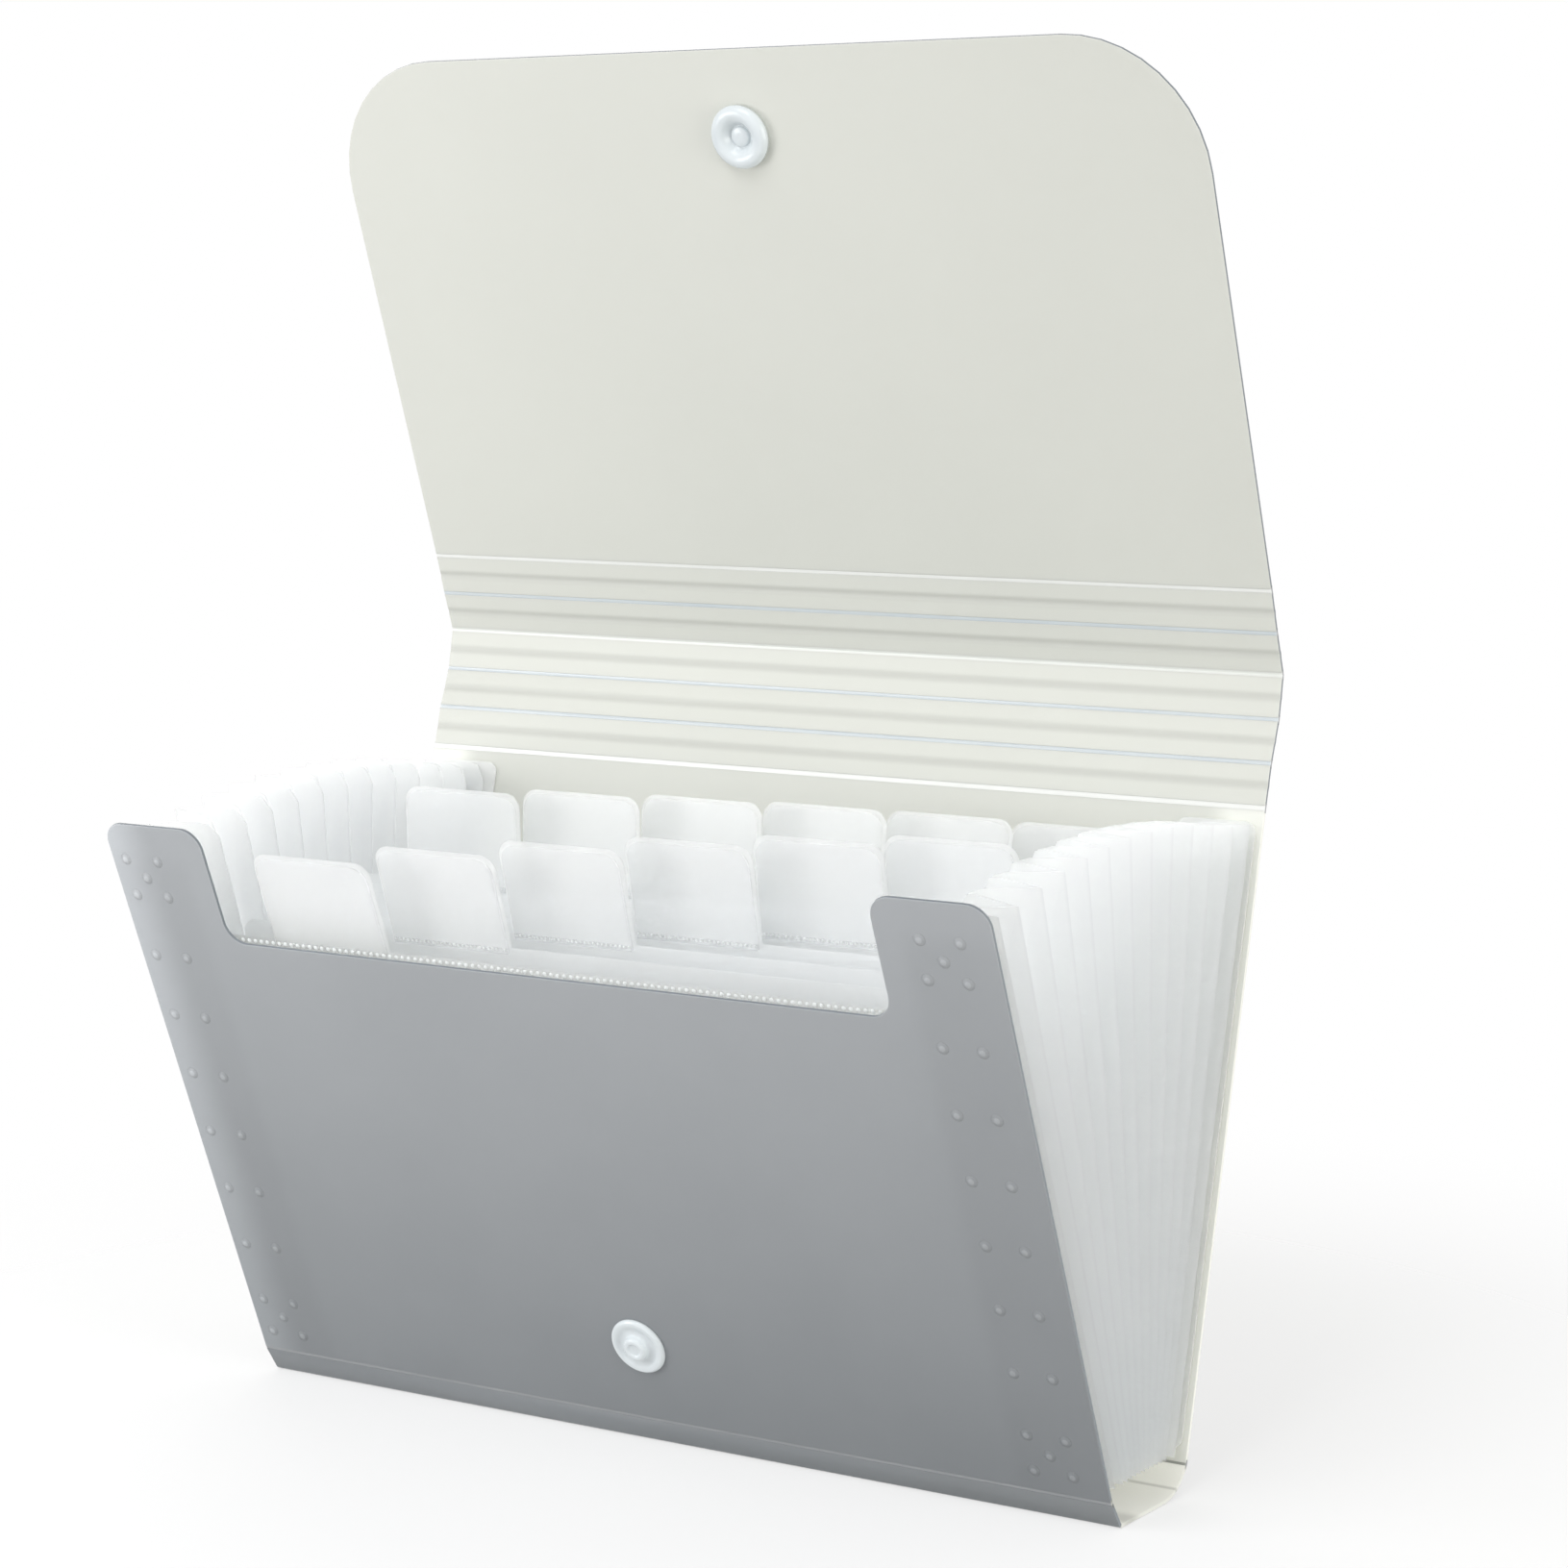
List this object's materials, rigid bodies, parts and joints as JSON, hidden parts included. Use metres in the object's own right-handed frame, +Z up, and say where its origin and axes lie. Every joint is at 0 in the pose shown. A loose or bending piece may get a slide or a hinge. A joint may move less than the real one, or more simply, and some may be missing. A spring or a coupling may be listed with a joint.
{
  "type": "accordion file folder",
  "caption": "Small translucent plastic accordion file standing open: scored wrap-around cover with snap flap, pleated side gussets, and tabbed divider pockets fanning from the bottom.",
  "frame": {"origin": "middle of the underside of the floor, where the folder stands", "axes": "+X to the right across the folder, +Y to its back, +Z up"},
  "size_m": [0.178, 0.1, 0.2409],
  "materials": {
    "cover_sheet": "extruded translucent grey polypropylene sheet with a fine matt grain",
    "insert_film": "milky translucent polypropylene film",
    "index_sleeve": "clear glossy film",
    "press_stud": "glossy white moulded plastic"
  },
  "bodies": {
    "base": {"bottom_floor": "cover_sheet", "bottom_front_strip": "cover_sheet", "bottom_rear_strip": "cover_sheet", "pocket_bottoms": "insert_film", "left_gusset": "insert_film", "right_gusset": "insert_film"},
    "front": {"front_panel": "cover_sheet", "front_gusset_margins": "insert_film", "front_weld_spots": "insert_film", "snap_stud": "press_stud", "snap_stud_cap": "press_stud"},
    "back": {"back_panel": "cover_sheet", "back_gusset_margins": "insert_film", "back_weld_spots": "insert_film"},
    "top_band": {"top_strip_1": "cover_sheet", "top_strip_2": "cover_sheet", "top_strip_3": "cover_sheet"},
    "flap": {"top_strip_4": "cover_sheet", "top_strip_5": "cover_sheet", "closing_flap": "cover_sheet", "snap_socket": "press_stud", "snap_socket_cap": "press_stud"},
    "divider_01": {"divider_01": "insert_film", "index_sleeve_01": "index_sleeve"},
    "divider_02": {"divider_02": "insert_film", "index_sleeve_02": "index_sleeve"},
    "divider_03": {"divider_03": "insert_film", "index_sleeve_03": "index_sleeve"},
    "divider_04": {"divider_04": "insert_film", "index_sleeve_04": "index_sleeve"},
    "divider_05": {"divider_05": "insert_film", "index_sleeve_05": "index_sleeve"},
    "divider_06": {"divider_06": "insert_film", "index_sleeve_06": "index_sleeve"},
    "divider_07": {"divider_07": "insert_film", "index_sleeve_07": "index_sleeve"},
    "divider_08": {"divider_08": "insert_film", "index_sleeve_08": "index_sleeve"},
    "divider_09": {"divider_09": "insert_film", "index_sleeve_09": "index_sleeve"},
    "divider_10": {"divider_10": "insert_film", "index_sleeve_10": "index_sleeve"},
    "divider_11": {"divider_11": "insert_film", "index_sleeve_11": "index_sleeve"},
    "divider_12": {"divider_12": "insert_film", "index_sleeve_12": "index_sleeve"}
  },
  "joints": [
    {"name": "accordion_close", "type": "hinge", "parent": "base", "child": "back", "pos_m": [0, 0.01307, 0.00467], "axis": [1, 0, 0], "range_deg": [-3, 15.13], "deforming": ["left_gusset", "right_gusset"]},
    {"name": "front_panel_fold", "type": "hinge", "parent": "base", "child": "front", "pos_m": [0, -0.01294, 0.00476], "axis": [1, 0, 0], "range_deg": [-23.71, 4.71]},
    {"name": "top_fold", "type": "hinge", "parent": "back", "child": "top_band", "pos_m": [0, 0.03936, 0.11251], "axis": [1, 0, 0], "range_deg": [-16.88, 85.08]},
    {"name": "flap_close", "type": "hinge", "parent": "top_band", "child": "flap", "pos_m": [0, 0.0454, 0.13475], "axis": [1, 0, 0], "range_deg": [-150, 58.7]},
    {"name": "divider_01_swing", "type": "hinge", "parent": "base", "child": "divider_01", "pos_m": [0, -0.0064, 0.001], "axis": [1, 0, 0], "range_deg": [-21.43, 4.26]},
    {"name": "divider_02_swing", "type": "hinge", "parent": "base", "child": "divider_02", "pos_m": [0, -0.00524, 0.001], "axis": [1, 0, 0], "range_deg": [-18.12, 3.6]},
    {"name": "divider_03_swing", "type": "hinge", "parent": "base", "child": "divider_03", "pos_m": [0, -0.00407, 0.001], "axis": [1, 0, 0], "range_deg": [-14.88, 2.96]},
    {"name": "divider_04_swing", "type": "hinge", "parent": "base", "child": "divider_04", "pos_m": [0, -0.00291, 0.001], "axis": [1, 0, 0], "range_deg": [-11.68, 2.33]},
    {"name": "divider_05_swing", "type": "hinge", "parent": "base", "child": "divider_05", "pos_m": [0, -0.00175, 0.001], "axis": [1, 0, 0], "range_deg": [-8.53, 1.7]},
    {"name": "divider_06_swing", "type": "hinge", "parent": "base", "child": "divider_06", "pos_m": [0, -0.00058, 0.001], "axis": [1, 0, 0], "range_deg": [-5.39, 1.08]},
    {"name": "divider_07_swing", "type": "hinge", "parent": "base", "child": "divider_07", "pos_m": [0, 0.00058, 0.001], "axis": [1, 0, 0], "range_deg": [-2.28, 0.46]},
    {"name": "divider_08_swing", "type": "hinge", "parent": "base", "child": "divider_08", "pos_m": [0, 0.00175, 0.001], "axis": [1, 0, 0], "range_deg": [-0.18, 0.85]},
    {"name": "divider_09_swing", "type": "hinge", "parent": "base", "child": "divider_09", "pos_m": [0, 0.00291, 0.001], "axis": [1, 0, 0], "range_deg": [-0.79, 3.97]},
    {"name": "divider_10_swing", "type": "hinge", "parent": "base", "child": "divider_10", "pos_m": [0, 0.00407, 0.001], "axis": [1, 0, 0], "range_deg": [-1.41, 7.09]},
    {"name": "divider_11_swing", "type": "hinge", "parent": "base", "child": "divider_11", "pos_m": [0, 0.00524, 0.001], "axis": [1, 0, 0], "range_deg": [-2.04, 10.23]},
    {"name": "divider_12_swing", "type": "hinge", "parent": "base", "child": "divider_12", "pos_m": [0, 0.0064, 0.001], "axis": [1, 0, 0], "range_deg": [-2.67, 13.41]}
  ],
  "couplings": [
    {"joint": "front_panel_fold", "follows": "accordion_close", "ratio": -1.5667},
    {"joint": "top_fold", "follows": "accordion_close", "ratio": 5.6239},
    {"joint": "divider_01_swing", "follows": "accordion_close", "ratio": -1.4157},
    {"joint": "divider_02_swing", "follows": "accordion_close", "ratio": -1.1973},
    {"joint": "divider_03_swing", "follows": "accordion_close", "ratio": -0.98292},
    {"joint": "divider_04_swing", "follows": "accordion_close", "ratio": -0.77172},
    {"joint": "divider_05_swing", "follows": "accordion_close", "ratio": -0.56293},
    {"joint": "divider_06_swing", "follows": "accordion_close", "ratio": -0.35585},
    {"joint": "divider_07_swing", "follows": "accordion_close", "ratio": -0.14983},
    {"joint": "divider_08_swing", "follows": "accordion_close", "ratio": 0.055743},
    {"joint": "divider_09_swing", "follows": "accordion_close", "ratio": 0.26148},
    {"joint": "divider_10_swing", "follows": "accordion_close", "ratio": 0.468},
    {"joint": "divider_11_swing", "follows": "accordion_close", "ratio": 0.67592},
    {"joint": "divider_12_swing", "follows": "accordion_close", "ratio": 0.88593}
  ]
}
